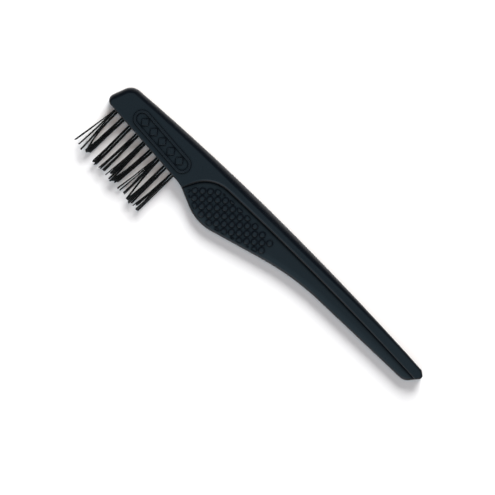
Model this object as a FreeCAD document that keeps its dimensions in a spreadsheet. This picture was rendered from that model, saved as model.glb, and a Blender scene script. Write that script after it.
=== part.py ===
"""Hairbrush cleaner: one moulded handle that carries a single row of stiff nylon tufts.

The tool lies on its side, in millimetres, with +Z up and its lowest flat at z = 0. X runs along the handle
from the head (-X) to the tip (+X), and Y runs across it from the bristle ends (-Y) to the spine (+Y). The
origin is the middle of the bounding box's underside. The moulding is the same above and below its middle
plane, apart from the raised ornament on the upper side of the head.

Each tuft is seven filaments folded in half under a flat metal anchor. The anchor is driven into the bore
from its mouth, scores a slot in the two walls beside it and holds the folds against the bore's bottom.
"""

import FreeCAD, Part
import math
import os

import Sketcher

Vector = FreeCAD.Vector
Rotation = FreeCAD.Rotation

PARTS = "parts"
SHEET = "Dimensions"
NEAR = 1e-3  # mm within which two computed places count as the same
OVERSHOOT = 1.0  # mm by which a cutting tool stands out of the surface that it cuts

# ---------------------------------------------------------------- driving dimensions, mm and degrees

DIMENSIONS = [
    ("thickness", 6.0),  # of the head, and of the spine all along the handle
    # corners of the outline before rounding, each with its rounding in plan
    ("end_top_x", -67.3), ("end_top_y", 13.25), ("end_top_round", 4.5),
    ("end_low_x", -70.95), ("end_low_y", 3.49), ("end_low_round", 2.3),
    ("throat_x", -32.9), ("throat_y", 0.96), ("throat_round", 12.0),
    ("belly_x", -20.1), ("belly_y", -4.51), ("belly_round", 16.5),
    ("waist_x", 15.6), ("waist_y", 5.84), ("waist_round", 95.0),
    ("heel_x", 66.6), ("heel_y", 7.26), ("heel_round", 4.0),
    ("nose_x", 70.6), ("nose_y", 12.44), ("nose_round", 1.2),
    ("tip_x", 68.25), ("tip_y", 14.07), ("tip_round", 1.0),
    ("crest_x", 2.0), ("crest_y", 16.0), ("spine_radius", 1130.0),
    # rounding of the upper and lower edges of the outline, which swells to the crest of the spine
    ("crest_edge", 2.6),
    ("spine_edge", 1.4),
    ("end_edge", 1.9),
    ("face_edge", 0.5),
    ("bevel_edge", 0.7),
    # the recess in each side of the handle, which leaves a thin web beside the spine
    ("recess_depth", 1.4),
    ("recess_start_x", -36.25), ("recess_start_y", -8.0),
    ("recess_low_x", 76.0), ("recess_low_y", -8.0),
    ("recess_exit_x", 76.0), ("recess_exit_y", 9.94),
    ("recess_corner_x", -26.4), ("recess_corner_y", 10.35), ("recess_corner_round", 11.0),
    ("recess_radius", 1050.0),
    ("lip_edge", 0.9), ("lip_end", 0.4),
    # the web's outer border: a shallow bevel, then a rounding
    ("bevel_width", 2.0), ("bevel_drop", 0.22), ("bevel_blend", 8.0),
    ("web_edge", 0.9),
    # the grip bumps: round buttons in staggered rows, cut off where they come near the web's border
    ("bump_radius", 1.02), ("bump_height", 0.55), ("bump_edge", 0.38),
    ("bump_pitch", 3.72), ("bump_row_pitch", 1.82), ("bump_tilt", -4.1),
    ("bump_first_x", 2.37), ("bump_first_y", 8.2),
    ("bump_rows", 7), ("bump_columns", 9),
    ("bump_margin", 1.5), ("bump_shift", 0.2),  # the border's distance, and its shift away from the spine
    # the ornament on the head: a raised capsule outline around a row of lozenges
    ("ornament_x", -47.0), ("ornament_y", 6.75), ("ornament_tilt", -3.8),
    ("ornament_length", 26.0), ("ornament_width", 5.8), ("ornament_line", 0.8),
    ("ornament_height", 0.5), ("ornament_root", 0.3), ("ornament_edge", 0.15),
    ("lozenge_side", 2.2), ("lozenge_pitch", 4.3), ("lozenges", 5),
    # the tufts and what holds them
    ("tufts", 9), ("first_tuft_x", -65.2), ("tuft_pitch", 3.53),
    ("bore_diameter", 1.85), ("bore_depth", 5.0),
    ("filament_diameter", 0.34),
    ("inner_fold", 0.31), ("outer_fold", 0.615), ("filament_step", 0.38),
    ("fold_gap", 0.8),  # from the centre of the folds to the bottom of the bore
    ("free_length", 16.71), ("length_spread", 0.6),
    ("splay_start", 0.3), ("splay_bend", 20.0), ("splay_along", 1.5), ("splay_across", 1.3),
    ("anchor_thickness", 0.25), ("anchor_width", 2.15), ("anchor_length", 1.5),
]

# The outline, counterclockwise: each corner, and the edge rounding of the side that leaves it.
OUTLINE = [
    ("end_top", "end_edge"),
    ("end_low", "face_edge"),
    ("throat", "face_edge"),
    ("belly", "face_edge"),
    ("waist", "face_edge"),
    ("heel", "bevel_edge"),
    ("nose", "bevel_edge"),
    ("tip", "bevel_edge"),
    ("crest", "spine_edge"),
]

RECESS = ["recess_start", "recess_low", "recess_exit", "recess_corner"]


# ---------------------------------------------------------------- the document and its helpers

doc = FreeCAD.newDocument("hairbrush_cleaner")
sheet = doc.addObject("Spreadsheet::Sheet", SHEET)
for line, (name, number) in enumerate(DIMENSIONS, start=1):
    sheet.set(f"A{line}", name)
    sheet.set(f"B{line}", str(number))
    sheet.setAlias(f"B{line}", name)
doc.recompute()


def size(name):
    """A dimension, read from the sheet."""
    return float(sheet.get(name))


def count(name):
    """A whole number, read from the sheet."""
    return int(sheet.get(name))


def spot(corner):
    """A named corner, in plan."""
    return Vector(size(f"{corner}_x"), size(f"{corner}_y"), 0)


def bind(thing, prop, formula):
    """Bind a property to a formula in which $name stands for the sheet's cell of that name."""
    thing.setExpression(prop, formula.replace("$", f"{SHEET}."))


def add(kind, name, **formulas):
    """An object of the document, with its sizes bound to formulas."""
    thing = doc.addObject(kind, name)
    for prop, formula in formulas.items():
        bind(thing, prop, formula)
    return thing


def join(name, pieces):
    """One object fused from several."""
    fused = doc.addObject("Part::MultiFuse", name)
    fused.Shapes = pieces
    return fused


def cut(name, base, tool):
    """The base with the tool's shape taken away. It stops the build if nothing was taken."""
    result = doc.addObject("Part::Cut", name)
    result.Base = base
    result.Tool = tool
    doc.recompute()
    if result.Shape.Volume > base.Shape.Volume - NEAR:
        raise RuntimeError(f"{name} cuts nothing")
    return result


def mirror_below(name, source):
    """The source's mirror image in the handle's middle plane."""
    mirrored = doc.addObject("Part::Mirroring", name)
    mirrored.Source = source
    mirrored.Normal = Vector(0, 0, 1)
    bind(mirrored, "Base.z", "$thickness / 2")
    return mirrored


def origin_item(body, role):
    """One of the body's own origin planes or axes."""
    return [item for item in body.Origin.OriginFeatures if item.Role == role][0]


def sketch_on_xy(body, name):
    """A sketch on the body's own XY plane."""
    sketch = body.newObject("Sketcher::SketchObject", name)
    sketch.AttachmentSupport = [(origin_item(body, "XY_Plane"), "")]
    sketch.MapMode = "FlatFace"
    return sketch


def constrain(sketch, name, formula, *details):
    """Add a dimension to the sketch and bind it to a formula."""
    index = sketch.addConstraint(Sketcher.Constraint(*details))
    sketch.renameConstraint(index, name)
    bind(sketch, f"Constraints.{name}", formula)


def arc_between(start, end, radius):
    """The counterclockwise arc of a given radius from one point to the other, the short way round."""
    chord = end - start
    inward = Vector(-chord.y, chord.x, 0).normalize()
    centre = (start + end) * 0.5 + inward * math.sqrt(radius ** 2 - (chord.Length / 2) ** 2)
    turns = [math.atan2(point.y - centre.y, point.x - centre.x) for point in (start, end)]
    return Part.ArcOfCircle(Part.Circle(centre, Vector(0, 0, 1), radius), *turns)


def tangent_radius(start, end, centre):
    """The radius of the arc that leaves start along a circle about centre, and passes through end."""
    chord = end - start
    inward = (centre - start).normalize()
    return chord.Length ** 2 / (2 * chord.dot(inward))


def draw_loop(sketch, corners, arcs, smooth=()):
    """Draw a closed counterclockwise loop through named corners.

    A side is straight, or an outward arc of the radius that arcs gives for the corner it leaves, or, if
    that corner is in smooth, an outward arc which carries on from the arc before it without a kink.
    """
    for number, corner in enumerate(corners):
        start = spot(corner)
        end = spot(corners[(number + 1) % len(corners)])
        if corner in arcs:
            side = arc_between(start, end, size(arcs[corner]))
        elif corner in smooth:
            side = arc_between(start, end, tangent_radius(start, end, side.Center))
        else:
            side = Part.LineSegment(start, end)
        sketch.addGeometry(side, False)
    for number, corner in enumerate(corners):
        before = (number - 1) % len(corners)
        joint = "Tangent" if corner in smooth else "Coincident"
        sketch.addConstraint(Sketcher.Constraint(joint, before, 2, number, 1))
        place = spot(corner)
        constrain(sketch, f"{corner}_x", f"${corner}_x", "DistanceX", -1, 1, number, 1, place.x)
        constrain(sketch, f"{corner}_y", f"${corner}_y", "DistanceY", -1, 1, number, 1, place.y)
        if corner in arcs:
            radius = arcs[corner]
            constrain(sketch, radius, f"${radius}", "Radius", number, size(radius))


def round_corner(body, corner):
    """Round one corner of the body in plan."""
    doc.recompute()
    base = body.Tip
    upright = []
    for number, edge in enumerate(base.Shape.Edges, start=1):
        ends = [Vector(vertex.X, vertex.Y, 0) for vertex in edge.Vertexes]
        if all(end.distanceToPoint(spot(corner)) < NEAR for end in ends):
            upright.append(f"Edge{number}")
    fillet = body.newObject("PartDesign::Fillet", f"{corner}_corner")
    fillet.Base = (base, upright)
    bind(fillet, "Radius", f"${corner}_round")


def is_level(edge):
    """Whether an edge lies flat."""
    return edge.BoundBox.ZLength < NEAR


def middle(edge):
    """The point halfway along an edge."""
    return edge.valueAt((edge.FirstParameter + edge.LastParameter) / 2)


def ends_of(edge):
    """An edge's first and last point."""
    return [edge.valueAt(edge.FirstParameter), edge.valueAt(edge.LastParameter)]


def round_edges(name, base, rounding_at):
    """Round the base's edges. rounding_at(edge) gives the radii at an edge's two ends, or None."""
    doc.recompute()
    chosen = []
    for number, edge in enumerate(base.Shape.Edges, start=1):
        radii = rounding_at(edge)
        if radii:
            chosen.append((number, *radii))
    fillet = doc.addObject("Part::Fillet", name)
    fillet.Base = base
    fillet.Edges = chosen
    doc.recompute()
    return fillet


# ---------------------------------------------------------------- the handle's moulding

def handle_blank():
    """A slab of the handle's outline, with rounded corners and edges."""
    body = add("PartDesign::Body", "handle_blank")
    bind(body, "Placement.Base.z", "$thickness / 2")
    outline = sketch_on_xy(body, "outline")
    draw_loop(outline, [corner for corner, edge in OUTLINE], {"tip": "spine_radius"}, ["crest"])
    slab = body.newObject("PartDesign::Pad", "slab")
    slab.Profile = outline
    slab.Midplane = True
    bind(slab, "Length", "$thickness")
    for corner, edge in OUTLINE:
        if corner != "crest":
            round_corner(body, corner)

    def rounding(point):
        """The rounding where the outline passes a point: the nearest side's, or the crest's own."""
        place = Vector(point.x, point.y, 0)
        if place.distanceToPoint(spot("crest")) < NEAR:
            return size("crest_edge")
        gaps = [side.toShape().distToShape(Part.Vertex(place))[0] for side in outline.Geometry]
        return size(OUTLINE[gaps.index(min(gaps))][1])

    def rounding_at(edge):
        return [rounding(end) for end in ends_of(edge)] if is_level(edge) else None

    return round_edges("handle_rounded", body, rounding_at)


def recess_tool():
    """What the upper recess takes away: everything between the spine and the bristle side."""
    body = add("PartDesign::Body", "recess")
    bind(body, "Placement.Base.z", "$thickness - $recess_depth")
    sketch = sketch_on_xy(body, "recess_outline")
    draw_loop(sketch, RECESS, {"recess_exit": "recess_radius"})
    pad = body.newObject("PartDesign::Pad", "recess_pad")
    pad.Profile = sketch
    bind(pad, "Length", f"$recess_depth + {OVERSHOOT}")
    round_corner(body, "recess_corner")
    doc.recompute()
    return body


def handle_recessed(blank, recess):
    """The blank with both recesses cut."""
    upper = cut("recess_cut", blank, recess)
    return cut("recess_cut_below", upper, mirror_below("recess_below", recess))


def depth_of(edge):
    """How far the middle of an edge lies below the nearer flat side of the handle."""
    height = middle(edge).z
    return min(height, size("thickness") - height)


def wall_test(recess):
    """A test that tells whether an edge runs along the recess's wall."""
    floor = size("thickness") - size("recess_depth")
    border = [edge for edge in recess.Shape.Edges if abs(edge.BoundBox.ZMax - floor) < NEAR]
    wall_line = Part.Compound(border)

    def beside_wall(edge):
        point = middle(edge)
        return wall_line.distToShape(Part.Vertex(point.x, point.y, floor))[0] < NEAR

    return beside_wall


def web_bevelled(base, beside_wall):
    """The base with a shallow bevel along the outer border of both webs."""
    width, drop = size("bevel_width"), size("bevel_drop")
    chosen = []
    for number, edge in enumerate(base.Shape.Edges, start=1):
        if is_level(edge) and abs(depth_of(edge) - size("recess_depth")) < NEAR and not beside_wall(edge):
            first = base.Shape.ancestorsOfType(edge, Part.Face)[0]
            chosen.append((number, width, drop) if is_level(first) else (number, drop, width))
    bevel = doc.addObject("Part::Chamfer", "web_bevelled")
    bevel.Base = base
    bevel.Edges = chosen
    doc.recompute()
    return bevel


def web_blended(base, beside_wall):
    """The base with the crease between each web and its bevel rounded away."""

    def rounding_at(edge):
        is_crease = is_level(edge) and abs(depth_of(edge) - size("recess_depth")) < NEAR
        return [size("bevel_blend")] * 2 if is_crease and not beside_wall(edge) else None

    return round_edges("web_blended", base, rounding_at)


def handle_softened(base, beside_wall):
    """The base with the recess's lip and the web's outer border rounded."""
    border_depth = size("recess_depth") + size("bevel_drop")
    level_edges = [edge for edge in base.Shape.Edges if is_level(edge)]
    lips = [edge for edge in level_edges if depth_of(edge) < NEAR and beside_wall(edge)]

    def lip_rounding(point):
        """The lip's rounding: smaller where the lip runs out into the outline."""
        meeting = [edge for edge in lips if edge.distToShape(Part.Vertex(point))[0] < NEAR]
        return size("lip_edge") if len(meeting) > 1 else size("lip_end")

    def rounding_at(edge):
        if not is_level(edge):
            return None
        if depth_of(edge) < NEAR and beside_wall(edge):
            return [lip_rounding(end) for end in ends_of(edge)]
        if abs(depth_of(edge) - border_depth) < NEAR:
            return [size("web_edge")] * 2
        return None

    return round_edges("handle_softened", base, rounding_at)


# ---------------------------------------------------------------- grip bumps

def grip_window(recessed):
    """The upper web's floor, pulled in by the margin, as a prism that the bumps are kept to."""
    level = size("thickness") - size("recess_depth")
    webs = [face for face in recessed.Shape.Faces
            if face.BoundBox.ZLength < NEAR and abs(face.BoundBox.ZMin - level) < NEAR]
    inner = webs[0].makeOffset2D(-size("bump_margin"))
    inner.translate(Vector(0, -size("bump_shift"), -size("bump_height")))
    window = doc.addObject("Part::Feature", "grip_window")
    window.Shape = inner.extrude(Vector(0, 0, 2 * size("bump_height") + OVERSHOOT))
    return window


def bump_places():
    """The centres of the bumps in plan, row by row from the spine, each row from the tip end."""
    tilt = Rotation(Vector(0, 0, 1), size("bump_tilt"))
    along = tilt.multVec(Vector(size("bump_pitch"), 0, 0))
    across = tilt.multVec(Vector(0, -size("bump_row_pitch"), 0))
    for row in range(count("bump_rows")):
        for column in range(count("bump_columns")):
            steps = column + (row % 2) / 2
            yield spot("bump_first") - along * steps + across * row


def grip_bumps(recessed):
    """The upper web's bumps: short round posts with rounded tops, cut off at the window's border."""
    window = grip_window(recessed)
    web = size("thickness") - size("recess_depth")
    posts = []
    for place in bump_places():
        if window.Shape.distToShape(Part.Vertex(place.x, place.y, web))[0] < size("bump_radius"):
            post = add("Part::Cylinder", f"bump_{len(posts) + 1}", Radius="$bump_radius",
                       Height="2 * $bump_height")
            post.Placement.Base = place
            bind(post, "Placement.Base.z", "$thickness - $recess_depth - $bump_height")
            posts.append(post)

    def rounding_at(edge):
        return [size("bump_edge")] * 2 if is_level(edge) and middle(edge).z > web else None

    bumps = doc.addObject("Part::Common", "grip_bumps")
    bumps.Base = round_edges("bumps_rounded", join("bump_posts", posts), rounding_at)
    bumps.Tool = window
    doc.recompute()
    return bumps


# ---------------------------------------------------------------- the ornament

def draw_slot(sketch, name, first, reach, radius):
    """Draw a slot about the sketch's origin: arcs of one radius, whose centres are reach to each side."""
    half, round_end = reach[1], radius[1]
    centres = [Vector(half, 0, 0), Vector(-half, 0, 0)]
    up = Vector(0, round_end, 0)
    normal = Vector(0, 0, 1)
    quarter = math.pi / 2
    circles = [Part.Circle(centre, normal, round_end) for centre in centres]
    sketch.addGeometry(Part.ArcOfCircle(circles[0], -quarter, quarter), False)
    sketch.addGeometry(Part.LineSegment(centres[0] + up, centres[1] + up), False)
    sketch.addGeometry(Part.ArcOfCircle(circles[1], quarter, 3 * quarter), False)
    sketch.addGeometry(Part.LineSegment(centres[1] - up, centres[0] - up), False)
    for number in range(4):
        sketch.addConstraint(Sketcher.Constraint("Tangent", first + number, 2, first + (number + 1) % 4, 1))
    sketch.addConstraint(Sketcher.Constraint("Equal", first, first + 2))
    sketch.addConstraint(Sketcher.Constraint("PointOnObject", first, 3, -1))
    sketch.addConstraint(Sketcher.Constraint("Symmetric", first, 3, first + 2, 3, -1, 1))
    constrain(sketch, f"{name}_reach", reach[0], "DistanceX", -1, 1, first, 3, half)
    constrain(sketch, f"{name}_radius", radius[0], "Radius", first, round_end)


def ornament():
    """The raised capsule outline and its lozenges, sunk a little into the head so that they fuse."""
    body = add("PartDesign::Body", "ornament")
    body.AllowCompound = True
    turn = Rotation(Vector(0, 0, 1), size("ornament_tilt"))
    body.Placement = FreeCAD.Placement(spot("ornament"), turn)
    bind(body, "Placement.Base.z", "$thickness - $ornament_root")
    half = (size("ornament_length") - size("ornament_width")) / 2
    reach = ("($ornament_length - $ornament_width) / 2", half)
    outer = ("$ornament_width / 2", size("ornament_width") / 2)
    inner = ("$ornament_width / 2 - $ornament_line", size("ornament_width") / 2 - size("ornament_line"))
    sketch = sketch_on_xy(body, "capsule")
    draw_slot(sketch, "outer", 0, reach, outer)
    draw_slot(sketch, "inner", 4, reach, inner)
    border = body.newObject("PartDesign::Pad", "capsule_border")
    border.Profile = sketch
    bind(border, "Length", "$ornament_height + $ornament_root")
    doc.recompute()
    lozenge = body.newObject("PartDesign::AdditiveBox", "lozenge")
    lozenge.AttachmentSupport = [(origin_item(body, "XY_Plane"), "")]
    lozenge.MapMode = "FlatFace"
    lozenge.AttachmentOffset = FreeCAD.Placement(Vector(), Rotation(Vector(0, 0, 1), 45))
    bind(lozenge, "AttachmentOffset.Base.x", "-$lozenge_pitch * ($lozenges - 1) / 2")
    bind(lozenge, "AttachmentOffset.Base.y", "-$lozenge_side / sqrt(2)")
    bind(lozenge, "Length", "$lozenge_side")
    bind(lozenge, "Width", "$lozenge_side")
    bind(lozenge, "Height", "$ornament_height + $ornament_root")
    doc.recompute()
    row = body.newObject("PartDesign::LinearPattern", "lozenge_row")
    row.Originals = [lozenge]
    row.Direction = (origin_item(body, "X_Axis"), [""])
    bind(row, "Length", "$lozenge_pitch * ($lozenges - 1)")
    bind(row, "Occurrences", "$lozenges")
    body.Tip = row

    def rounding_at(edge):
        on_top = is_level(edge) and middle(edge).z > size("thickness") + size("ornament_height") - NEAR
        return [size("ornament_edge")] * 2 if on_top else None

    return round_edges("ornament_softened", body, rounding_at)


# ---------------------------------------------------------------- bores, anchors and tufts

def mouth(number):
    """The middle of a bore's mouth, on the slanted face that runs from end_low to throat."""
    x = size("first_tuft_x") + size("tuft_pitch") * number
    slope = (size("throat_y") - size("end_low_y")) / (size("throat_x") - size("end_low_x"))
    return Vector(x, size("end_low_y") + slope * (x - size("end_low_x")), size("thickness") / 2)


def fold_centre(number):
    """The centre that a tuft's filaments fold around, on the lower edge of its anchor."""
    return mouth(number) + Vector(0, size("bore_depth") - size("fold_gap"), 0)


def bores():
    """What is taken out of the handle for the tufts: round bores, each with its anchor's slot."""
    tools = []
    for number in range(count("tufts")):
        start = mouth(number) - Vector(0, OVERSHOOT, 0)
        bore = add("Part::Cylinder", f"bore_{number + 1}", Radius="$bore_diameter / 2",
                   Height=f"$bore_depth + {OVERSHOOT}")
        bore.Placement = FreeCAD.Placement(start, Rotation(Vector(1, 0, 0), -90))
        slot = add("Part::Box", f"slot_{number + 1}", Length="$anchor_thickness",
                   Width=f"$bore_depth - $fold_gap + {OVERSHOOT}", Height="$anchor_width")
        slot.Placement.Base = start - Vector(size("anchor_thickness") / 2, 0, size("anchor_width") / 2)
        tools += [bore, slot]
    return join("bores", tools)


def anchor(number):
    """The flat metal anchor across one bore, with its lower edge on the folds' centre."""
    plate = add("Part::Box", f"anchor_{number + 1}", Length="$anchor_thickness",
                Width="$anchor_length", Height="$anchor_width")
    half = Vector(size("anchor_thickness") / 2, 0, size("anchor_width") / 2)
    plate.Placement.Base = fold_centre(number) - Vector(0, size("anchor_length"), 0) - half
    return plate


def leg_length(number, leg):
    """The free length of one leg. Legs differ, as cut filaments do, in a fixed way."""
    return size("free_length") + size("length_spread") * math.sin(5 * leg + 3 * number + 1)


def leg_path(number, fold, side, leg):
    """The edges of one leg from the fold outwards: straight in the bore, a gentle bend, straight to its end.

    fold is the fold's half width and height, and side is -1 for the leg towards the head or 1.
    """
    half, height = fold
    start = fold_centre(number) + Vector(side * half, 0, height)
    bend_start = Vector(start.x, mouth(number).y - size("splay_start"), start.z)
    sideways = Vector(side * half * size("splay_along"), 0, height * size("splay_across"))
    free = leg_length(number, leg)
    angle = math.atan2(sideways.Length, free)
    sideways.normalize()
    out = Vector(0, -1, 0)
    radius = size("splay_bend")

    def on_bend(turn):
        return bend_start + out * radius * math.sin(turn) + sideways * radius * (1 - math.cos(turn))

    bend_end = on_bend(angle)
    rest = free - size("splay_start") - radius * angle
    end = bend_end + (out * math.cos(angle) + sideways * math.sin(angle)) * rest
    return [
        Part.LineSegment(start, bend_start).toShape(),
        Part.Arc(bend_start, on_bend(angle / 2), bend_end).toShape(),
        Part.LineSegment(bend_end, end).toShape(),
    ]


def filament(number, fold, leg):
    """One folded filament: a round wire swept along both its legs and the half turn between them."""
    half, height = fold
    centre = fold_centre(number) + Vector(0, 0, height)
    first = leg_path(number, fold, -1, leg)
    second = leg_path(number, fold, 1, leg + 1)
    ends = [centre - Vector(half, 0, 0), centre + Vector(0, half, 0), centre + Vector(half, 0, 0)]
    path = Part.Wire(first[::-1] + [Part.Arc(*ends).toShape()] + second)
    tip = first[-1].Vertexes[-1].Point
    heading = first[-1].Curve.Direction
    ring = Part.Wire(Part.Circle(tip, heading, size("filament_diameter") / 2).toShape())
    solid = path.makePipeShell([ring], True, False)
    expected = math.pi * (size("filament_diameter") / 2) ** 2 * path.Length
    if not solid.isValid() or abs(solid.Volume - expected) > 0.01 * expected:
        raise RuntimeError(f"a filament of tuft {number + 1} did not sweep well")
    return solid


def tuft(number):
    """One tuft: four narrow folds in a column, and three wide folds around them."""
    step = size("filament_step")
    folds = [(size("inner_fold"), step * (layer - 1.5)) for layer in range(4)]
    folds += [(size("outer_fold"), step * (layer - 1)) for layer in range(3)]
    solids = [filament(number, fold, 2 * place) for place, fold in enumerate(folds)]
    group = doc.addObject("Part::Feature", f"tuft_{number + 1}")
    group.Shape = Part.Compound(solids)
    return group


# ---------------------------------------------------------------- assembly, checks and export

def build_handle():
    """The whole handle: the moulding with its bumps and ornament, less the bores."""
    recess = recess_tool()
    recessed = handle_recessed(handle_blank(), recess)
    bumps = grip_bumps(recessed)
    beside_wall = wall_test(recess)
    bevelled = web_blended(web_bevelled(recessed, beside_wall), beside_wall)
    softened = handle_softened(bevelled, beside_wall)
    moulding = join("moulding", [softened, bumps, mirror_below("grip_bumps_below", bumps), ornament()])
    doc.recompute()
    return cut("handle", moulding, bores())


def check(nodes):
    """Stop unless every object was computed and every node is valid."""
    for thing in doc.Objects:
        if {"Invalid", "Error"} & set(thing.State):
            raise RuntimeError(f"{thing.Name} is in state {thing.State}")
    for node in nodes:
        if node.Shape.isNull() or not node.Shape.isValid():
            raise RuntimeError(f"{node.Label} has no valid shape")


tuft_numbers = range(count("tufts"))
nodes = [build_handle()]
nodes += [anchor(number) for number in tuft_numbers]
nodes += [tuft(number) for number in tuft_numbers]
doc.recompute()
check(nodes)
os.makedirs(PARTS, exist_ok=True)
for node in nodes:
    node.Label = node.Name
    node.Shape.exportStep(os.path.join(PARTS, f"{node.Label}.step"))
    solids = node.Shape.Solids
    print(f"{node.Label}: {len(solids)} solid(s), {node.Shape.Volume:.2f} mm3")
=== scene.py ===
"""The looks of a hairbrush cleaner: a moulded black handle and nine tufts of black nylon.

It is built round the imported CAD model, in metres, in the model's own frame: X along the handle, Y across
it towards the spine, Z up. The handle and the anchors are the CAD parts with better materials. Each tuft
is rebuilt as loose filaments that fan out, cross and end unevenly as those of a used brush do.
"""

import math
import random

import bpy
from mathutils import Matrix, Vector


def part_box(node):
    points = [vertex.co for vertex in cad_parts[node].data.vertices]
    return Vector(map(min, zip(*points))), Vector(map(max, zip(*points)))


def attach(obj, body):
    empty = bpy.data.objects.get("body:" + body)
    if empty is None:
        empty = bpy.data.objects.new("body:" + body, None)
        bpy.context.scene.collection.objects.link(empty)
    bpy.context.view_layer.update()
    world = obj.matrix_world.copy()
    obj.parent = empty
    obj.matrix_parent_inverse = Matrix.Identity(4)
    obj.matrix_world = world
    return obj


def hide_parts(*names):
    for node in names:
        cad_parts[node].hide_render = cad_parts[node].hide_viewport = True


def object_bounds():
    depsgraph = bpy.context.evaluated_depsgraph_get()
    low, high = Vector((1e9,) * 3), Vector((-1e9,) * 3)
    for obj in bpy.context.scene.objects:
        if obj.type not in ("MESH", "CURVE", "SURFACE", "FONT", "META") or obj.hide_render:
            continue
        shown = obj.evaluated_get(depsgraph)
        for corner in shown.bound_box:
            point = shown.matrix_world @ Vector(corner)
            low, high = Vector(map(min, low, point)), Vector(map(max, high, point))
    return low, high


MM = 0.001
BODY = "root"

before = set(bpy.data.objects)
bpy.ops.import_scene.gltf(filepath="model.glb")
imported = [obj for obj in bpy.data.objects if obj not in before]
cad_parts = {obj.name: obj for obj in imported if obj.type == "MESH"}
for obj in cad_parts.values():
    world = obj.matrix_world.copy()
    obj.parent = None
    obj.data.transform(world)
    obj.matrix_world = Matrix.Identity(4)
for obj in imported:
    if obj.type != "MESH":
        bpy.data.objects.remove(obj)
cad_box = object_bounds()


# ---------------------------------------------------------------- node helpers

GRAIN = (0.3, 0.7)  # nearly all noise values lie between these
PATCH = (0.4, 0.65)  # the noise values between which a patch of wear fades in
EDGE_TURN = (0.98, 0.85)  # the cosine of an edge's turn at which wear starts and is complete
OPEN_VIEW = (0.93, 0.64)  # the share of open view at which shelter starts and is complete


def new_material(name):
    """An empty node material with a Principled shader. Returns the material, its tree and the shader."""
    material = bpy.data.materials.new(name)
    material.use_nodes = True
    tree = material.node_tree
    shader = tree.nodes["Principled BSDF"]
    return material, tree, shader


def node(tree, kind, settings=None, **inputs):
    """A new node with its settings, and with its inputs linked to sockets or set to values.

    An input goes by its name, with _ for a space, or by its number, such as _0.
    """
    made = tree.nodes.new(kind)
    for key, value in (settings or {}).items():
        setattr(made, key, value)
    for key, value in inputs.items():
        socket = made.inputs[int(key[1:])] if key[1:].isdigit() else made.inputs[key.replace("_", " ")]
        if isinstance(value, bpy.types.NodeSocket):
            tree.links.new(value, socket)
        else:
            socket.default_value = value
    return made


def noise(tree, size_mm, detail=3.0, rough=0.55):
    """Noise in the part's own space, with features of a given size."""
    place = node(tree, "ShaderNodeTexCoord")
    return node(tree, "ShaderNodeTexNoise", Vector=place.outputs["Object"],
                Scale=1 / (size_mm * MM), Detail=detail, Roughness=rough).outputs["Fac"]


def remap(tree, value, low, high, start, end):
    """Stretch a value's range from low..high to start..end, clamped."""
    return node(tree, "ShaderNodeMapRange", Value=value, From_Min=low, From_Max=high,
                To_Min=start, To_Max=end).outputs["Result"]


def maths(tree, operation, first, second=0.0):
    """One arithmetic step on sockets or numbers."""
    return node(tree, "ShaderNodeMath", {"operation": operation}, _0=first, _1=second).outputs["Value"]


def blend_colours(tree, share, first, second):
    """A mix of two colours. The first may also be a socket."""
    mix = tree.nodes.new("ShaderNodeMix")
    mix.data_type = "RGBA"
    tree.links.new(share, mix.inputs["Factor"])
    if isinstance(first, bpy.types.NodeSocket):
        tree.links.new(first, mix.inputs["A"])
    else:
        mix.inputs["A"].default_value = first
    mix.inputs["B"].default_value = second
    return mix.outputs["Result"]


def worn_edges(tree, reach_mm):
    """How worn a place is, from 0 to 1: patches along the edges, as wide as a given reach."""
    eased = node(tree, "ShaderNodeBevel", {"samples": 4}, Radius=reach_mm * MM).outputs["Normal"]
    facing = node(tree, "ShaderNodeNewGeometry").outputs["Normal"]
    alike = node(tree, "ShaderNodeVectorMath", {"operation": "DOT_PRODUCT"}, _0=eased, _1=facing)
    edge = remap(tree, alike.outputs["Value"], *EDGE_TURN, 0.0, 1.0)
    return maths(tree, "MULTIPLY", edge, remap(tree, noise(tree, 2.0), *PATCH, 0.0, 1.0))


def corner_shade_mask(tree, reach_mm):
    """How sheltered a place is, from 0 to 1: high in the corners beside a wall, within a given reach. It
    masks the painted shade in those corners.
    """
    open_share = node(tree, "ShaderNodeAmbientOcclusion", {"samples": 8, "only_local": True},
                      Distance=reach_mm * MM).outputs["AO"]
    return remap(tree, open_share, *OPEN_VIEW, 0.0, 1.0)


def bumpy(tree, shader, height, strength, depth_mm):
    """Give a shader small bumps."""
    bump = node(tree, "ShaderNodeBump", Height=height, Strength=strength, Distance=depth_mm * MM)
    tree.links.new(bump.outputs["Normal"], shader.inputs["Normal"])


# ---------------------------------------------------------------- materials

# Each material's colours: a dark and a pale tone that mix in clouds, and the tone of a worn place.
PLASTIC_TONES = ((0.0018, 0.0029, 0.0049, 1), (0.0023, 0.0036, 0.0057, 1), (0.0060, 0.0080, 0.0105, 1))
NYLON_TONES = ((0.0030, 0.0032, 0.0035, 1), (0.0060, 0.0060, 0.0060, 1), (0.0120, 0.0120, 0.0120, 1))
BRASS_TONES = ((0.60, 0.42, 0.18, 1), (0.75, 0.56, 0.28, 1), (0.85, 0.68, 0.38, 1))
RUBBED = 0.5  # how much of the worn tone shows where plastic or nylon is most worn
PLASTIC_GLOSS = 0.36  # on the open faces
NYLON_GLOSS = 0.2
SCUFFED = (-11.0 * MM, -15.0 * MM)  # the Y at which the filaments' scuffing starts and is complete
SPECK = (0.4, 0.6)  # the noise values between which a speck of scuffing fades in


def paint(tree, shader, tones, clouds, wear):
    """Colour a shader: two tones that mix in clouds, and a third where the piece is worn."""
    dark, pale, worn = tones
    colour = blend_colours(tree, clouds, dark, pale)
    tree.links.new(blend_colours(tree, wear, colour, worn), shader.inputs["Base Color"])


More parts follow.
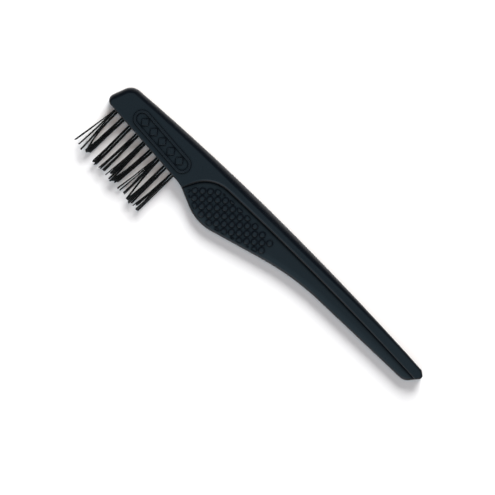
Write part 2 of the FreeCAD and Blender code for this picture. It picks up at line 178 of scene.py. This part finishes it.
def polish(tree, shader, grain, smooth, rough, wear=0.0, dulling=0.0):
    """Spread a shader's roughness over a range by the grain, and raise it where the piece is worn."""
    spread = remap(tree, grain, *GRAIN, smooth, rough)
    dulled = maths(tree, "ADD", spread, maths(tree, "MULTIPLY", wear, dulling))
    tree.links.new(dulled, shader.inputs["Roughness"])


def moulded_plastic():
    """Satin black plastic with a blue-green cast.

    Its edges have rubbed a little paler and duller. Its gloss falls to nothing in the corners beside the
    walls, which paints shade there as dark lines along the foot of each wall.
    """
    material, tree, shader = new_material("handle_plastic_black")
    clouds = noise(tree, 9.0)
    grain = noise(tree, 0.22, detail=2.0)
    wear = worn_edges(tree, 0.2)
    paint(tree, shader, PLASTIC_TONES, clouds, maths(tree, "MULTIPLY", wear, RUBBED))
    polish(tree, shader, grain, 0.27, 0.33, wear, dulling=0.05)
    bumpy(tree, shader, grain, strength=0.12, depth_mm=0.02)
    # Painted shade: the gloss drops to nothing where the place is sheltered, so the corners beside the
    # walls turn dark.
    shaded_gloss = remap(tree, corner_shade_mask(tree, 1.1), 0.0, 1.0, PLASTIC_GLOSS, 0.0)
    tree.links.new(shaded_gloss, shader.inputs["Specular IOR Level"])
    return material


def nylon():
    """Black extruded nylon, scuffed at the free ends of the filaments."""
    material, tree, shader = new_material("bristle_nylon_black")
    clouds = noise(tree, 1.5)
    grain = noise(tree, 0.12, detail=2.0)
    place = node(tree, "ShaderNodeTexCoord").outputs["Object"]
    along = node(tree, "ShaderNodeSeparateXYZ", Vector=place).outputs["Y"]
    end = remap(tree, along, *SCUFFED, 0.0, 1.0)
    wear = maths(tree, "MULTIPLY", end, remap(tree, grain, *SPECK, 0.0, 1.0))
    paint(tree, shader, NYLON_TONES, clouds, maths(tree, "MULTIPLY", wear, RUBBED))
    polish(tree, shader, clouds, 0.22, 0.34, wear, dulling=0.1)
    bumpy(tree, shader, grain, strength=0.15, depth_mm=0.01)
    shader.inputs["Specular IOR Level"].default_value = NYLON_GLOSS
    return material


def brass():
    """Rolled brass strip, brighter along its sheared edges."""
    material, tree, shader = new_material("anchor_brass")
    scratches = noise(tree, 0.3)
    paint(tree, shader, BRASS_TONES, scratches, worn_edges(tree, 0.05))
    polish(tree, shader, scratches, 0.3, 0.5)
    bumpy(tree, shader, scratches, strength=0.2, depth_mm=0.01)
    shader.inputs["Metallic"].default_value = 1.0
    return material


def dress(piece, material):
    """Give a piece one material in every slot."""
    if not piece.data.materials:
        piece.data.materials.append(material)
    for number in range(len(piece.data.materials)):
        piece.data.materials[number] = material


dress(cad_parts["handle"], moulded_plastic())
brass_strip = brass()
for name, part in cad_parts.items():
    if name.startswith("anchor"):
        dress(part, brass_strip)
nylon_black = nylon()


# ---------------------------------------------------------------- tufts

FILAMENT_RADIUS = 0.2 * MM
FILAMENT_SIDES = 8
END_BEVEL = 0.3 * FILAMENT_RADIUS
BORE_REACH = 4.2 * MM  # from a bore's mouth to the centre of the folds
BEND_DEPTH = 0.3 * MM  # how far inside the mouth a leg starts to bend
FREE_STEPS = 10
FOLD_STEPS = 6
PACKING = 0.19 * MM  # spacing of the filament ends of one strand
GOLDEN_ANGLE = math.radians(137.5)
MINGLING = 0.1  # how far a leg may count as shifted along X when strands choose their legs, in mm
FANNING = 2.4  # how many times as far apart in height the free ends are as the folds
LEAN = 0.7  # how far a strand may lean up or down, in mm
UNEVEN = (-0.35, 0.2)  # how much longer and shorter than its strand a leg may be, in mm
WAVE = (0.02, 0.09)  # the least and greatest height of a leg's waves, in mm
WAVE_TURN = 4.0  # radians of wave along the free length

# Each folded filament: half its width, and its height above the middle of the bore, in mm.
FOLDS = [(0.31, height) for height in (-0.57, -0.19, 0.19, 0.57)]
FOLDS += [(0.615, height) for height in (-0.38, 0.0, 0.38)]

# How each tuft has worn into strands, from the head's end to the handle's. A strand has a number of legs,
# the shift of its end along X from the tuft's root, the Y of its end, both in mm, and how late it bends
# away, where 1 is a straight line.
STRANDS = [
    [(2, -2.95, -13.2, 1.15), (4, -1.05, -13.2, 1.1), (4, 0.65, -14.0, 1.2), (4, 2.45, -13.5, 3.2)],
    [(5, -1.2, -13.1, 1.3), (5, -0.65, -13.0, 1.2), (4, -0.15, -12.6, 1.1)],
    [(7, -0.55, -14.1, 1.3), (1, 0.35, -14.75, 1.2), (6, 0.45, -14.2, 1.3)],
    [(6, -1.1, -14.1, 1.5), (2, -0.75, -14.0, 1.1), (6, 0.4, -13.7, 1.4)],
    [(1, -1.55, -14.4, 1.8), (7, -0.6, -12.7, 1.3), (2, 0.2, -14.3, 1.6), (4, 0.95, -14.7, 1.3)],
    [(5, -2.0, -14.0, 1.4), (5, -1.3, -13.9, 1.3), (4, -0.7, -13.1, 1.2)],
    [(3, -2.6, -14.7, 1.2), (2, -1.6, -14.6, 1.2), (5, 0.1, -14.3, 1.2), (4, 2.0, -15.0, 1.7)],
    [(5, -1.0, -14.9, 1.7), (5, -0.2, -15.4, 1.3), (4, 0.55, -14.9, 1.4)],
    [(1, -1.95, -15.0, 1.7), (4, -1.3, -14.2, 1.5), (9, -0.1, -15.2, 1.3)],
]


def leg_ends(strands, centre, rng):
    """The free end and the curl of each leg of a tuft. The strands take their legs in order along X."""
    roots = [(side * half, height) for half, height in FOLDS for side in (-1, 1)]
    order = sorted(range(len(roots)), key=lambda leg: roots[leg][0] + rng.uniform(-MINGLING, MINGLING))
    ends = {}
    for legs, shift, end_y, curl in strands:
        lean = rng.uniform(-LEAN, LEAN) * MM
        for place in range(legs):
            leg = order.pop(0)
            spread = PACKING * math.sqrt(place)
            turn = GOLDEN_ANGLE * place
            x = centre.x + shift * MM + spread * math.cos(turn)
            z = centre.z + FANNING * roots[leg][1] * MM + lean + spread * math.sin(turn)
            y = (end_y + rng.uniform(*UNEVEN)) * MM
            ends[leg] = (Vector((x, y, z)), curl)
    return [ends[leg] for leg in range(len(roots))]


def leg_points(start, mouth_y, end, curl, rng):
    """Points along one leg, from the fold to its end: straight in the bore, then curving away."""
    bend = Vector((start.x, mouth_y + BEND_DEPTH, start.z))
    wave = rng.uniform(*WAVE) * MM
    phase = rng.uniform(0, 2 * math.pi)
    points = [start, bend]
    for step in range(1, FREE_STEPS + 1):
        share = step / FREE_STEPS
        point = bend.lerp(end, share)
        point.x = bend.x + (end.x - bend.x) * share ** curl
        sway = wave * math.sin(math.pi * share) * math.sin(WAVE_TURN * share + phase)
        points.append(point + Vector((sway, 0, sway)))
    return points


def fold_points(centre, half):
    """Points round a filament's half turn, from its leg on the -X side to the one on the +X side."""
    turns = [math.pi * step / FOLD_STEPS for step in range(1, FOLD_STEPS)]
    return [centre + Vector((-half * math.cos(turn), half * math.sin(turn), 0)) for turn in turns]


def add_tube(vertices, faces, points):
    """Add a round wire along some points, with bevelled, closed ends."""
    first = len(vertices)
    inner = [after - before for before, after in zip(points, points[2:])]
    heads = [points[1] - points[0]] + inner + [points[-1] - points[-2]]
    rings = [(point, head.normalized(), FILAMENT_RADIUS) for point, head in zip(points, heads)]
    rings.insert(0, (rings[0][0] - rings[0][1] * END_BEVEL, rings[0][1], FILAMENT_RADIUS - END_BEVEL))
    rings.append((rings[-1][0] + rings[-1][1] * END_BEVEL, rings[-1][1], FILAMENT_RADIUS - END_BEVEL))
    for point, head, radius in rings:
        aside = Vector((0, 0, 1)).cross(head).normalized()
        above = head.cross(aside)
        for side in range(FILAMENT_SIDES):
            turn = 2 * math.pi * side / FILAMENT_SIDES
            vertices.append(point + radius * (aside * math.cos(turn) + above * math.sin(turn)))
    for ring in range(len(rings) - 1):
        for side in range(FILAMENT_SIDES):
            after = (side + 1) % FILAMENT_SIDES
            low = first + ring * FILAMENT_SIDES
            high = low + FILAMENT_SIDES
            faces.append((low + side, low + after, high + after, high + side))
    last = first + (len(rings) - 1) * FILAMENT_SIDES
    faces.append(tuple(range(first + FILAMENT_SIDES - 1, first - 1, -1)))
    faces.append(tuple(range(last, last + FILAMENT_SIDES)))


def make_tuft(number, strands):
    """One worn tuft, built round its own anchor, in place of the CAD's straight one."""
    low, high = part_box(f"anchor_{number}")
    middle = (low + high) / 2
    centre = Vector((middle.x, high.y, middle.z))
    rng = random.Random(number)
    ends = leg_ends(strands, centre, rng)
    vertices, faces = [], []
    for fold, (half, height) in enumerate(FOLDS):
        fold_centre = centre + Vector((0, 0, height * MM))
        half *= MM
        legs = []
        for side, (end, curl) in zip((-1, 1), ends[2 * fold:2 * fold + 2]):
            start = fold_centre + Vector((side * half, 0, 0))
            legs.append(leg_points(start, centre.y - BORE_REACH, end, curl, rng))
        add_tube(vertices, faces, legs[0][::-1] + fold_points(fold_centre, half) + legs[1])
    mesh = bpy.data.meshes.new(f"worn_tuft_{number}")
    mesh.from_pydata(vertices, [], faces)
    for face in mesh.polygons:
        face.use_smooth = len(face.vertices) == 4
    tuft = bpy.data.objects.new(f"worn_tuft_{number}", mesh)
    bpy.context.scene.collection.objects.link(tuft)
    dress(tuft, nylon_black)
    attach(tuft, BODY)
    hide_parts(f"tuft_{number}")


for number, strands in enumerate(STRANDS, 1):
    make_tuft(number, strands)


# ---------------------------------------------------------------- stage, light and camera

VIEW_CENTRE = Vector((-1.89, 1.92, 3.0)) * MM
VIEW_WIDTH = 165.6 * MM
VIEW_DISTANCE = 1.3
CAMERA_TURN = math.radians(45)
FLOOR_SIZE = 8.0
FLOOR_GAP = 0.02 * MM
SKY_WHITE = (1.6, 1.55, 1.5)  # at the horizon, along the handle's long sides
SKY_TAIL = 0.4  # the tail end's share of that
SKY_FALL = 3.0  # how quickly it fades with height
# The soft panels in the sky: each one's colour and centre, the cosine of the angle from its centre at which
# it ends, and the same for where it is at full brightness.
PANELS = [
    ((0.62, 0.96, 1.15), (0.15, -0.35, 0.92), 0.78, 0.97),
    ((0.95, 0.95, 1.05), (0.30, -0.70, 0.65), 0.88, 0.97),
]


def make_floor():
    """A plain pale floor just under the object."""
    bpy.ops.mesh.primitive_plane_add(size=FLOOR_SIZE, location=(0, 0, cad_box[0].z - FLOOR_GAP))
    floor = bpy.context.object
    floor.name = "floor"
    material, tree, shader = new_material("floor_white")
    shader.inputs["Base Color"].default_value = (0.9, 0.9, 0.9, 1)
    shader.inputs["Roughness"].default_value = 0.9
    shader.inputs["Specular IOR Level"].default_value = 0.1
    floor.data.materials.append(material)


def make_sky():
    """A plain sky: two soft panels overhead, and white low down along both of the handle's long sides."""
    world = bpy.data.worlds.new("studio")
    bpy.context.scene.world = world
    world.use_nodes = True
    tree = world.node_tree
    background = tree.nodes["Background"]
    direction = node(tree, "ShaderNodeTexCoord").outputs["Generated"]
    heading = node(tree, "ShaderNodeSeparateXYZ", Vector=direction).outputs
    lowness = maths(tree, "POWER", remap(tree, heading["Z"], 0.0, 1.0, 1.0, 0.0), SKY_FALL)
    aside = maths(tree, "ABSOLUTE", heading["Y"])
    tail_end = maths(tree, "MULTIPLY", maths(tree, "MAXIMUM", heading["X"], 0.0), SKY_TAIL)
    sides = maths(tree, "MULTIPLY", maths(tree, "ADD", aside, tail_end), lowness)
    white = node(tree, "ShaderNodeVectorMath", {"operation": "SCALE"}, _0=SKY_WHITE, Scale=sides)
    total = white.outputs["Vector"]
    for colour, centre, edge, full in PANELS:
        nearness = node(tree, "ShaderNodeVectorMath", {"operation": "DOT_PRODUCT"},
                        _0=direction, _1=Vector(centre).normalized()).outputs["Value"]
        inside = node(tree, "ShaderNodeMapRange", {"interpolation_type": "SMOOTHSTEP"},
                      Value=nearness, From_Min=edge, From_Max=full).outputs["Result"]
        panel = node(tree, "ShaderNodeVectorMath", {"operation": "SCALE"}, _0=colour, Scale=inside)
        total = node(tree, "ShaderNodeVectorMath", {"operation": "ADD"},
                     _0=total, _1=panel.outputs["Vector"]).outputs["Vector"]
    tree.links.new(total, background.inputs["Color"])


def area_light(name, azimuth, elevation, distance, size, power, colour):
    """A round soft light, not mirrored in glossy surfaces, that shines on the middle of the object."""
    turn = math.radians(azimuth)
    rise = math.radians(elevation)
    away = Vector((math.cos(turn) * math.cos(rise), math.sin(turn) * math.cos(rise), math.sin(rise)))
    light = bpy.data.lights.new(name, "AREA")
    light.shape = "DISK"
    light.size = size
    light.energy = power
    light.color = colour
    lamp = bpy.data.objects.new(name, light)
    lamp.location = VIEW_CENTRE + away * distance
    lamp.rotation_mode = "QUATERNION"
    lamp.rotation_quaternion = (-away).to_track_quat("-Z", "Y")
    lamp.visible_glossy = False
    bpy.context.scene.collection.objects.link(lamp)


def make_camera():
    """A long lens straight above, turned so that the handle runs from upper left to lower right."""
    camera = bpy.data.cameras.new("camera")
    camera.sensor_width = 36.0
    camera.lens = camera.sensor_width * VIEW_DISTANCE / VIEW_WIDTH
    camera.clip_start = 0.1
    camera.clip_end = 10.0
    holder = bpy.data.objects.new("camera", camera)
    holder.location = VIEW_CENTRE + Vector((0, 0, VIEW_DISTANCE))
    holder.rotation_euler = (0, 0, CAMERA_TURN)
    bpy.context.scene.collection.objects.link(holder)
    bpy.context.scene.camera = holder


make_floor()
make_sky()
area_light("key", azimuth=114, elevation=37, distance=1.2, size=0.9, power=23.0, colour=(1, 1, 1))
area_light("fill", azimuth=90, elevation=90, distance=1.8, size=1.2, power=4.0, colour=(1.7, 1.02, 0.7))
make_camera()
bpy.context.scene.view_settings.view_transform = "Standard"
